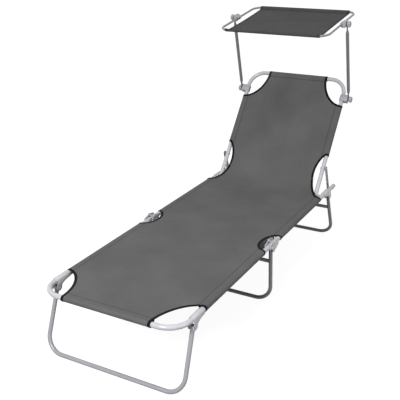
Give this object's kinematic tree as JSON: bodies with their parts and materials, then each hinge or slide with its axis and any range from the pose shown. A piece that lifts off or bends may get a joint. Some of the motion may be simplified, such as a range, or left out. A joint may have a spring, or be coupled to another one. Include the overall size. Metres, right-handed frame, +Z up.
{
  "type": "sun lounger with canopy",
  "caption": "Folding sun lounger with a reclining back on notched stays, U-shaped tube legs, a fabric bed and a small tilting canopy on two posts.",
  "frame": {"origin": "on the floor, under the middle of the bounding box", "axes": "+Y runs from the foot end to the head end, +X to the right seen from the foot end, +Z up"},
  "size_m": [0.5942, 1.7136, 1.0355],
  "materials": {
    "frame": "satin powder coat",
    "zinc": "zinc plated",
    "plastic": "moulded matte",
    "bed_cloth": "woven matte",
    "canopy_cloth": "woven matte"
  },
  "bodies": {
    "seat": {"seat_rail_left": "frame", "seat_rail_right": "frame", "rail_cap_left": "plastic", "rail_cap_right": "plastic", "knee_seat_plate_outer_left": "frame", "knee_seat_plate_outer_right": "frame", "knee_seat_plate_inner_left": "frame", "knee_seat_plate_inner_right": "frame", "knee_pin_left": "zinc", "knee_pin_right": "zinc", "middle_leg_pin_left": "zinc", "middle_leg_pin_right": "zinc", "rear_leg_bracket_left": "frame", "rear_leg_bracket_right": "frame", "rear_leg_pin_left": "zinc", "rear_leg_pin_right": "zinc", "stay_pin_left": "zinc", "stay_pin_right": "zinc", "back_hinge_bolt_left": "zinc", "back_hinge_bolt_right": "zinc", "back_hinge_spacer_left": "plastic", "back_hinge_spacer_right": "plastic", "seat_fabric": "bed_cloth", "hinge_fabric": "bed_cloth"},
    "foot_section": {"foot_frame": "frame", "knee_foot_plate_outer_left": "frame", "knee_foot_plate_outer_right": "frame", "knee_foot_plate_inner_left": "frame", "knee_foot_plate_inner_right": "frame", "foot_leg_bracket_left": "frame", "foot_leg_bracket_right": "frame", "foot_leg_pin_left": "zinc", "foot_leg_pin_right": "zinc", "foot_fabric": "bed_cloth"},
    "foot_leg": {"foot_leg_tube": "frame"},
    "middle_leg": {"middle_leg_tube": "frame", "middle_leg_crossbar": "frame"},
    "rear_leg": {"rear_leg_tube": "frame", "rear_leg_crossbar": "frame"},
    "backrest": {"back_frame": "frame", "back_fabric": "bed_cloth", "stay_rivet_left": "zinc", "stay_rivet_right": "zinc", "lower_clamp_left": "plastic", "lower_clamp_right": "plastic"},
    "stay_left": {"stay_bar_left": "zinc"},
    "stay_right": {"stay_bar_right": "zinc"},
    "posts": {"post_left": "frame", "post_right": "frame"},
    "canopy": {"canopy_frame": "frame", "canopy_fabric": "canopy_cloth", "upper_clamp_left": "plastic", "upper_clamp_right": "plastic"},
    "lower_knob_left": {"lower_knob_body_left": "plastic"},
    "lower_knob_right": {"lower_knob_body_right": "plastic"},
    "upper_knob_left": {"upper_knob_body_left": "plastic"},
    "upper_knob_right": {"upper_knob_body_right": "plastic"}
  },
  "joints": [
    {"name": "foot_fold", "type": "hinge", "parent": "seat", "child": "foot_section", "pos_m": [0, -0.13183, 0.268], "axis": [-1, 0, 0], "range_deg": [0, 165]},
    {"name": "foot_leg_fold", "type": "hinge", "parent": "foot_section", "child": "foot_leg", "pos_m": [0, -0.75583, 0.229], "axis": [1, 0, 0], "range_deg": [0, 105]},
    {"name": "middle_leg_fold", "type": "hinge", "parent": "seat", "child": "middle_leg", "pos_m": [0, -0.13983, 0.2365], "axis": [1, 0, 0], "range_deg": [0, 85]},
    {"name": "rear_leg_fold", "type": "hinge", "parent": "seat", "child": "rear_leg", "pos_m": [0, 0.51817, 0.229], "axis": [-1, 0, 0], "range_deg": [0, 105]},
    {"name": "back_recline", "type": "hinge", "parent": "seat", "child": "backrest", "pos_m": [0, 0.44017, 0.255], "axis": [-1, 0, 0], "range_deg": [-85, 51], "deforming": ["hinge_fabric"]},
    {"name": "stay_swing_left", "type": "hinge", "parent": "backrest", "child": "stay_left", "pos_m": [-0.26375, 0.52297, 0.35909], "axis": [-1, 0, 0], "range_deg": [-26, 43]},
    {"name": "stay_swing_right", "type": "hinge", "parent": "backrest", "child": "stay_right", "pos_m": [0.26375, 0.52297, 0.35909], "axis": [-1, 0, 0], "range_deg": [-26, 43]},
    {"name": "post_swing", "type": "hinge", "parent": "backrest", "child": "posts", "pos_m": [0, 0.74645, 0.64004], "axis": [1, 0, 0], "range_deg": [-90, 60]},
    {"name": "canopy_tilt", "type": "hinge", "parent": "posts", "child": "canopy", "pos_m": [0, 0.65432, 1.00149], "axis": [1, 0, 0], "range_deg": [-60, 60]},
    {"name": "lower_knob_turn_left", "type": "hinge", "parent": "backrest", "child": "lower_knob_left", "pos_m": [-0.2818, 0.74645, 0.64004], "axis": [1, 0, 0], "continuous": true},
    {"name": "lower_knob_turn_right", "type": "hinge", "parent": "backrest", "child": "lower_knob_right", "pos_m": [0.2818, 0.74645, 0.64004], "axis": [1, 0, 0], "continuous": true},
    {"name": "upper_knob_turn_left", "type": "hinge", "parent": "canopy", "child": "upper_knob_left", "pos_m": [-0.2818, 0.65432, 1.00149], "axis": [1, 0, 0], "continuous": true},
    {"name": "upper_knob_turn_right", "type": "hinge", "parent": "canopy", "child": "upper_knob_right", "pos_m": [0.2818, 0.65432, 1.00149], "axis": [1, 0, 0], "continuous": true}
  ],
  "couplings": [
    {"joint": "stay_swing_left", "follows": "back_recline", "ratio": -0.5},
    {"joint": "stay_swing_right", "follows": "back_recline", "ratio": -0.5}
  ]
}
